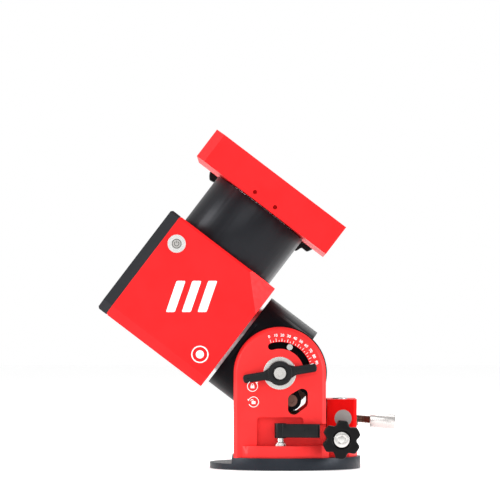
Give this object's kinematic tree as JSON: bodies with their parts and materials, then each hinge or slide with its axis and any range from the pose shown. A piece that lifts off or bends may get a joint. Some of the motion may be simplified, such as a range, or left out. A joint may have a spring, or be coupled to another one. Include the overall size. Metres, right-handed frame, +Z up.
{
  "type": "equatorial mount head",
  "caption": "Motorised equatorial mount head: round base, tilting fork with dial, drive box turning on two axes, and a dovetail saddle.",
  "frame": {"origin": "centre of the base plate's underside, at the tripod thread's mouth", "axes": "+Z up, -X towards the celestial pole, -Y the side with the latitude dial"},
  "size_m": [0.2499, 0.154, 0.2838],
  "materials": {
    "red_anodised": "satin red anodised",
    "black_anodised": "satin black anodised",
    "base_anodised": "satin blue-grey anodised",
    "plain_aluminium": "machined",
    "steel": "turned",
    "handle_steel": "bright",
    "black_steel": "black oxide",
    "brass": "turned",
    "bronze": "machined",
    "knob_plastic": "moulded matte black",
    "lever_metal": "powder-coated die casting",
    "level_vial": "clear yellow-green",
    "motor_black": "painted",
    "belt_rubber": "toothed",
    "circuit_board": "solder mask",
    "socket_plastic": "moulded",
    "button_plastic": "moulded"
  },
  "bodies": {
    "base": {"base_plate": "base_anodised", "azimuth_post": "steel", "azimuth_retainer": "plain_aluminium", "retainer_screws": "steel"},
    "fork": {"fork_frame": "red_anodised", "rear_block": "red_anodised", "altitude_trunnion": "steel", "trunnion_set_screw": "black_steel", "bullseye_level": "level_vial", "azimuth_studs": "steel", "wing_washers": "steel"},
    "azimuth_pad_near": {"azimuth_pad_near": "brass"},
    "azimuth_pad_far": {"azimuth_pad_far": "brass"},
    "azimuth_knob_near": {"azimuth_knob_near": "knob_plastic"},
    "azimuth_knob_far": {"azimuth_knob_far": "knob_plastic"},
    "azimuth_lever_near": {"azimuth_lever_near": "lever_metal"},
    "azimuth_lever_far": {"azimuth_lever_far": "lever_metal"},
    "wing_near": {"wing_lever_near": "lever_metal", "wing_bolt_near": "steel"},
    "wing_far": {"wing_lever_far": "lever_metal", "wing_bolt_far": "steel"},
    "altitude_screw": {"altitude_screw": "black_steel", "altitude_handle": "handle_steel"},
    "handle_tip": {"altitude_handle_tip": "handle_steel"},
    "altitude_head": {"ra_housing": "black_anodised", "altitude_shaft": "steel", "altitude_sector": "bronze", "sector_screws": "bronze", "dial_pointer": "steel", "ra_circular_spline": "steel", "ra_main_bearing": "steel"},
    "drive_box": {"box_shell": "red_anodised", "end_plate": "black_anodised", "end_plate_screws": "steel", "ra_output_flange": "plain_aluminium", "ra_flexspline": "steel", "shaft_bearings": "steel", "stepper_motors": "motor_black", "motor_brackets": "plain_aluminium", "drive_belts": "belt_rubber", "dec_housing": "black_anodised", "dec_circular_spline": "steel", "dec_main_bearing": "steel", "control_boards": "circuit_board", "port_sockets": "socket_plastic", "power_button_bezel": "steel", "power_button_spring": "steel"},
    "power_button": {"power_button_cap": "button_plastic"},
    "ra_wave": {"ra_wave_generator": "steel", "ra_input_shaft": "steel"},
    "ra_rotor": {"ra_motor_rotor": "steel"},
    "dec_wave": {"dec_wave_generator": "steel", "dec_input_shaft": "steel"},
    "dec_rotor": {"dec_motor_rotor": "steel"},
    "saddle": {"saddle_body": "red_anodised", "dec_output_flange": "plain_aluminium", "dec_flexspline": "steel"},
    "jaw": {"saddle_jaw": "red_anodised"},
    "clamp_left": {"clamp_knob_left": "knob_plastic"},
    "clamp_right": {"clamp_knob_right": "knob_plastic"}
  },
  "joints": [
    {"name": "azimuth", "type": "hinge", "parent": "base", "child": "fork", "pos_m": [0, 0, 0], "axis": [0, 0, 1], "range_deg": [-6, 6]},
    {"name": "azimuth_pad_near_slide", "type": "slide", "parent": "fork", "child": "azimuth_pad_near", "axis": [0, 1, 0], "range_m": [-0.006, 0.006]},
    {"name": "azimuth_pad_far_slide", "type": "slide", "parent": "fork", "child": "azimuth_pad_far", "axis": [0, 1, 0], "range_m": [-0.006, 0.006]},
    {"name": "azimuth_knob_near_spin", "type": "hinge", "parent": "azimuth_pad_near", "child": "azimuth_knob_near", "pos_m": [0.046, -0.06, 0.026], "axis": [0, 1, 0], "range_deg": [-1600, 1600]},
    {"name": "azimuth_knob_far_spin", "type": "hinge", "parent": "azimuth_pad_far", "child": "azimuth_knob_far", "pos_m": [0.046, 0.06, 0.026], "axis": [0, 1, 0], "range_deg": [-1600, 1600]},
    {"name": "azimuth_lever_near_swing", "type": "hinge", "parent": "fork", "child": "azimuth_lever_near", "pos_m": [-0.0043, -0.051, 0.03], "axis": [0, 0, -1], "range_deg": [-12, 60]},
    {"name": "azimuth_lever_far_swing", "type": "hinge", "parent": "fork", "child": "azimuth_lever_far", "pos_m": [-0.0043, 0.051, 0.03], "axis": [0, 0, 1], "range_deg": [-12, 60]},
    {"name": "wing_near_swing", "type": "hinge", "parent": "fork", "child": "wing_near", "pos_m": [-0.0049, 0, 0.0807], "axis": [0, -1, 0], "range_deg": [0, 80]},
    {"name": "wing_far_swing", "type": "hinge", "parent": "fork", "child": "wing_far", "pos_m": [-0.0049, 0, 0.0807], "axis": [0, 1, 0], "range_deg": [0, 80]},
    {"name": "altitude", "type": "hinge", "parent": "fork", "child": "altitude_head", "pos_m": [-0.0049, 0, 0.0807], "axis": [0, 1, 0], "range_deg": [-37.3, 52.7]},
    {"name": "altitude_screw_spin", "type": "hinge", "parent": "fork", "child": "altitude_screw", "pos_m": [0.0484, 0, 0.0425], "axis": [0.9969, 0, -0.0785], "range_deg": [-4200, 5800]},
    {"name": "handle_tip_fold", "type": "hinge", "parent": "altitude_screw", "child": "handle_tip", "pos_m": [0.08878, 0, 0.03932], "axis": [0, 1, 0], "range_deg": [0, 90]},
    {"name": "ra_axis", "type": "hinge", "parent": "altitude_head", "child": "drive_box", "pos_m": [-0.0833, 0, 0.14281], "axis": [0.7955, 0, -0.606], "continuous": true},
    {"name": "ra_wave_spin", "type": "hinge", "parent": "drive_box", "child": "ra_wave", "pos_m": [-0.0833, 0, 0.14281], "axis": [0.7955, 0, -0.606], "continuous": true},
    {"name": "ra_rotor_spin", "type": "hinge", "parent": "drive_box", "child": "ra_rotor", "pos_m": [-0.06615, -0.024, 0.10096], "axis": [0.7955, 0, -0.606], "continuous": true},
    {"name": "dec_axis", "type": "hinge", "parent": "drive_box", "child": "saddle", "pos_m": [-0.03374, 0, 0.20324], "axis": [0.606, 0, 0.7955], "continuous": true},
    {"name": "dec_wave_spin", "type": "hinge", "parent": "drive_box", "child": "dec_wave", "pos_m": [-0.03374, 0, 0.20324], "axis": [0.606, 0, 0.7955], "continuous": true},
    {"name": "dec_rotor_spin", "type": "hinge", "parent": "drive_box", "child": "dec_rotor", "pos_m": [-0.07869, 0.022, 0.18022], "axis": [0.606, 0, 0.7955], "continuous": true},
    {"name": "jaw_slide", "type": "slide", "parent": "saddle", "child": "jaw", "axis": [0, 1, 0], "range_m": [-0.003, 0.009]},
    {"name": "clamp_left_spin", "type": "hinge", "parent": "jaw", "child": "clamp_left", "pos_m": [-0.04939, 0.07, 0.25036], "axis": [0, 1, 0], "range_deg": [-900, 2700]},
    {"name": "clamp_right_spin", "type": "hinge", "parent": "jaw", "child": "clamp_right", "pos_m": [0.01584, 0.07, 0.20067], "axis": [0, 1, 0], "range_deg": [-900, 2700]},
    {"name": "power_button_press", "type": "slide", "parent": "drive_box", "child": "power_button", "axis": [0, 1, 0], "range_m": [0, 0.001], "stiffness_N_per_m": 300}
  ],
  "couplings": [
    {"joint": "azimuth_pad_near_slide", "follows": "azimuth", "m_per_rad": -0.046},
    {"joint": "azimuth_pad_far_slide", "follows": "azimuth", "m_per_rad": -0.046},
    {"joint": "azimuth_knob_near_spin", "follows": "azimuth", "ratio": -231.22},
    {"joint": "azimuth_knob_far_spin", "follows": "azimuth", "ratio": -231.22},
    {"joint": "altitude_screw_spin", "follows": "altitude", "ratio": 106},
    {"joint": "ra_wave_spin", "follows": "ra_axis", "ratio": -101},
    {"joint": "ra_rotor_spin", "follows": "ra_axis", "ratio": -303},
    {"joint": "dec_wave_spin", "follows": "dec_axis", "ratio": -100},
    {"joint": "dec_rotor_spin", "follows": "dec_axis", "ratio": -300},
    {"joint": "clamp_left_spin", "follows": "jaw_slide", "rad_per_m": 5026.5},
    {"joint": "clamp_right_spin", "follows": "jaw_slide", "rad_per_m": 5026.5}
  ]
}
